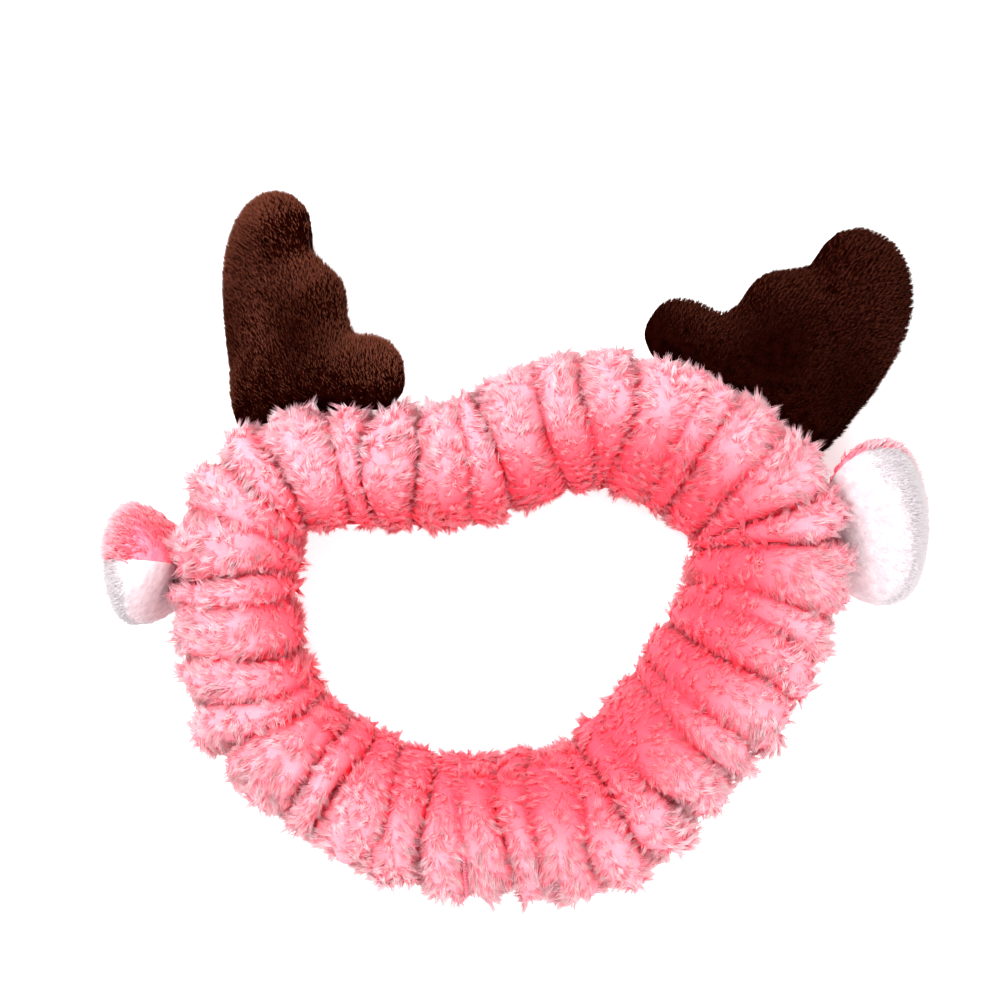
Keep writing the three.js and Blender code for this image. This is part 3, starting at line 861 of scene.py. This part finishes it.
def sewn_panel(form, part, root, off, side, body, material):
    """One panel of a stuffed form: the half on its side of the edge seam."""
    panel = bpy.data.objects.new(f"{body}_{part}_cloth", form.data.copy())
    scene.collection.objects.link(panel)
    half = bmesh.new()
    half.from_mesh(panel.data)
    cut = bmesh.ops.bisect_plane(
        half, geom=[*half.verts, *half.edges, *half.faces], plane_co=root, plane_no=off * side,
        clear_inner=True,
    )
    rim = [e for e in cut["geom_cut"] if isinstance(e, bmesh.types.BMEdge)]
    bmesh.ops.holes_fill(half, edges=rim)
    bmesh.ops.recalc_face_normals(half, faces=half.faces)
    half.to_mesh(panel.data)
    half.free()
    panel.data.materials.append(material)
    panel.data.shade_smooth()
    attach(panel, body)
    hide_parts(f"{body}_{part}")
    return panel


def scattered(mesh, count):
    """Places spread evenly over a mesh, with its normals there."""
    mesh.calc_loop_triangles()
    points = np.array([v.co for v in mesh.vertices])
    normals = np.array([v.normal for v in mesh.vertices])
    corners = np.array([t.vertices for t in mesh.loop_triangles])
    a, b, c = (points[corners[:, k]] for k in range(3))
    area = np.linalg.norm(np.cross(b - a, c - a), axis=1)
    heap = np.cumsum(area) / area.sum()
    picks = np.searchsorted(heap, (np.arange(count) + random.random(count)) / count)
    u, v = random.random((2, count))
    over = u + v > 1
    u, v = np.where(over, 1 - u, u), np.where(over, 1 - v, v)
    weights = np.stack([1 - u - v, u, v], axis=1)[..., None]
    places = (points[corners[picks]] * weights).sum(axis=1)
    return places, unit((normals[corners[picks]] * weights).sum(axis=1))


def backing_material(name, dark, light):
    """The knitted cloth that carries the pile: dull, seen only between its strands, and coloured like the
    pile's shaded roots, as painted shade.
    """
    material = new_material(name, 0.95)
    material.node_tree.nodes["Principled BSDF"].inputs["Specular IOR Level"].default_value = 0
    tone = ramp(material, noise(material, 400), [(0.3, dark), (0.7, light)])
    finish_material(material, tone, noise(material, 1800), 0.5)
    return material


# Antlers: short dense velvety pile, dark brown, standing in knitted rows along the antler. Growth
# is along, aside and through the edge seam; a shift is towards the root and aside.

ANTLER_STRANDS = 44000
ANTLER_PILE = 1.3 * MM
ANTLER_PILE_LENGTH = 2.2 * MM
ROW_PITCH = 1.3 * MM
ROW_PULL = 0.5
ANTLER_TUCK = 6 * MM
ANTLER_STRAND_RADIUS = 0.18 * MM
# Painted shade: where the hollow between the tines lies, and how far up from the root the shade reaches.
HOLLOW_SHADE_PLACE = (24 * MM, 12 * MM)
HOLLOW_SHADE_SIZE = (15 * MM, 13 * MM)
ROOT_SHADE_REACH = 26 * MM
brown_backing = backing_material("brown_backing", srgb(16, 5, 3), srgb(32, 12, 9))
# The right antler's copy of the brown velvet is painted darker, as shade on its brushed pile. Each last
# colour multiplies in painted shade.
antler_looks = {
    "left": pile_material(
        "brown_velvet", srgb(24, 8, 5), srgb(64, 28, 20), srgb(112, 64, 50), (0.16, 0.09, 0.08), 0, 0
    ),
    "right": pile_material(
        "brown_velvet_painted_darker", srgb(9, 3, 2), srgb(30, 12, 9), srgb(80, 42, 33), (0.2, 0.12, 0.1), 0, 0
    ),
}
antler_lean = {"left": 0.25, "right": -0.55}
antler_growth = {"left": (1.0, 1.03, 1.0), "right": (1.0, 1.06, 1.0)}
antler_shift = {"left": (3.5 * MM, -2.5 * MM), "right": (0, 0)}
antler_flare = {"left": 0.35, "right": 0.1}
for side in ("left", "right"):
    body = f"antler_{side}"
    root, out, aside, off = sewn_frame(body, "front")
    form = stuffed_form(
        body, ["front", "back", "wadding"], ANTLER_PILE, antler_growth[side], antler_shift[side],
        antler_flare[side], ANTLER_TUCK,
    )
    place, normal = scattered(form.data, ANTLER_STRANDS)
    for part, facing in (("front", 1), ("back", -1)):
        sewn_panel(form, part, root, off, facing, body, brown_backing)
    sewing_thread(form, body, root, off)
    bpy.data.objects.remove(form)
    sideways = (place - root) @ aside
    row = np.round(sideways / ROW_PITCH)
    place += aside * ((row * ROW_PITCH - sideways) * ROW_PULL)[:, None]
    swirl = antler_lean[side] + 0.3 * drift(place, 31, 14 * MM)
    comb = unit(out + aside * swirl[:, None] + random.normal(scale=0.25, size=place.shape))
    length = ANTLER_PILE_LENGTH * random.uniform(0.8, 1.15, ANTLER_STRANDS)
    reach = (place - root) @ out
    stitch = np.sin(reach / ROW_PITCH * 2 * math.pi + math.pi * row)
    # Painted shade: darker in the hollow between the tines and towards the root, with patches that vary at
    # random.
    from_hollow = (
        ((reach - HOLLOW_SHADE_PLACE[0]) / HOLLOW_SHADE_SIZE[0]) ** 2
        + ((np.abs(sideways) - HOLLOW_SHADE_PLACE[1]) / HOLLOW_SHADE_SIZE[1]) ** 2
    )
    painted_root_shade = np.clip(1 - reach / ROOT_SHADE_REACH, 0, 1)
    depth = 0.7 * np.exp(-from_hollow) + 0.5 * painted_root_shade + 0.3 * drift(place, 41, 9 * MM)
    tone = np.clip(0.5 + 0.22 * stitch + random.normal(scale=0.25, size=ANTLER_STRANDS), 0, 1)
    shade = np.stack([tone, np.clip(depth, 0, 0.95)], axis=1)
    strands = tuft_strands(place, normal, comb, length, 1, 0, 0, ANTLER_STRAND_RADIUS, shade)
    pile_piece(f"{body}_pile", body, antler_looks[side], strands, bent=False)

# Ears: white velour lining with a short smooth pile, and a back of the band's coral fleece.

EAR_TUFTS = 1400
EAR_STRANDS_PER_TUFT = 6
EAR_TUFT_SPREAD = 0.7 * MM
EAR_TUFT_CLOSING = 0.5
EAR_LINING_STRANDS = 14000
EAR_LINING_LENGTH = 2.6 * MM
EAR_LINING_RADIUS = 0.22 * MM
EAR_BACK_LENGTH = 3.8 * MM
EAR_PILE = 1.3 * MM
# Width of the painted shade along the lining's edge by the seam.
EAR_EDGE_SHADE_WIDTH = 5 * MM
EAR_TUCK = {"left": 2 * MM, "right": 9 * MM}
# How far from the root the band's painted shade reaches on each ear's back.
EAR_ROOT_SHADE_REACH = {"left": 16 * MM, "right": 7 * MM}
# The white velour's last colour multiplies in the painted shade along the lining's edge.
white_velour = pile_material(
    "white_velour", srgb(190, 176, 181), srgb(211, 200, 204), srgb(224, 217, 220), (0.75, 0.6, 0.64), 0.1, 0.1
)
white_backing = backing_material("white_backing", srgb(190, 178, 183), srgb(216, 206, 210))
coral_backing = backing_material("coral_backing", srgb(250, 106, 128), srgb(254, 140, 158))
ear_cloths = {"lining": white_backing, "back": coral_backing}
ear_growth = {"left": (0.86, 1.1, 1.5), "right": (1.0, 1.04, 1.35)}
ear_shift = {"left": (8.5 * MM, 0), "right": (0, 0)}
for side in ("left", "right"):
    body = f"ear_{side}"
    root, out, aside, off = sewn_frame(body, "lining")
    form = stuffed_form(
        body, ["lining", "back", "wadding"], EAR_PILE, ear_growth[side], ear_shift[side], 0, EAR_TUCK[side]
    )
    for part, facing in (("lining", 1), ("back", -1)):
        sewn_panel(form, part, root, off, facing, body, ear_cloths[part])
    sewing_thread(form, body, root, off)
    place, normal = scattered(form.data, 2 * EAR_LINING_STRANDS)
    on_lining = (place - root) @ off > 0
    place, normal = place[on_lining], normal[on_lining]
    count = len(place)
    swirl = 0.4 * drift(place, 51, 12 * MM)
    comb = unit(out + aside * swirl[:, None] + random.normal(scale=0.25, size=place.shape))
    length = EAR_LINING_LENGTH * random.uniform(0.8, 1.2, count)
    # Painted shade along the lining's edge, near the seam.
    rim = np.clip(1 - ((place - root) @ off) / EAR_EDGE_SHADE_WIDTH, 0, 1) ** 2
    shade = np.stack([random.random(count), rim * 0.6], axis=1)
    strands = tuft_strands(place, normal, comb, length, 1, 0, 0, EAR_LINING_RADIUS, shade)
    pile_piece(f"{body}_lining_pile", body, white_velour, strands, bent=False)
    place, normal = scattered(form.data, 2 * EAR_TUFTS)
    on_back = (place - root) @ off <= 0
    place, normal = place[on_back], normal[on_back]
    count = len(place)
    swirl = 0.5 * drift(place, 61, 10 * MM)
    comb = unit(out + aside * swirl[:, None] - 0.3 * off + random.normal(scale=0.25, size=place.shape))
    length = EAR_BACK_LENGTH * random.uniform(0.8, 1.2, count)
    # Painted shade near the root, where the band shades the ear's back.
    depth = np.clip(1 - ((place - root) @ out) / EAR_ROOT_SHADE_REACH[side], 0, 1)
    shade = np.stack([random.random(count), depth], axis=1)
    strands = tuft_strands(
        place, normal, comb, length, EAR_STRANDS_PER_TUFT, EAR_TUFT_SPREAD, EAR_TUFT_CLOSING,
        PILE_RADIUS, shade,
    )
    pile_piece(f"{body}_back_pile", body, coral_fleece, strands)
    bpy.data.objects.remove(form)
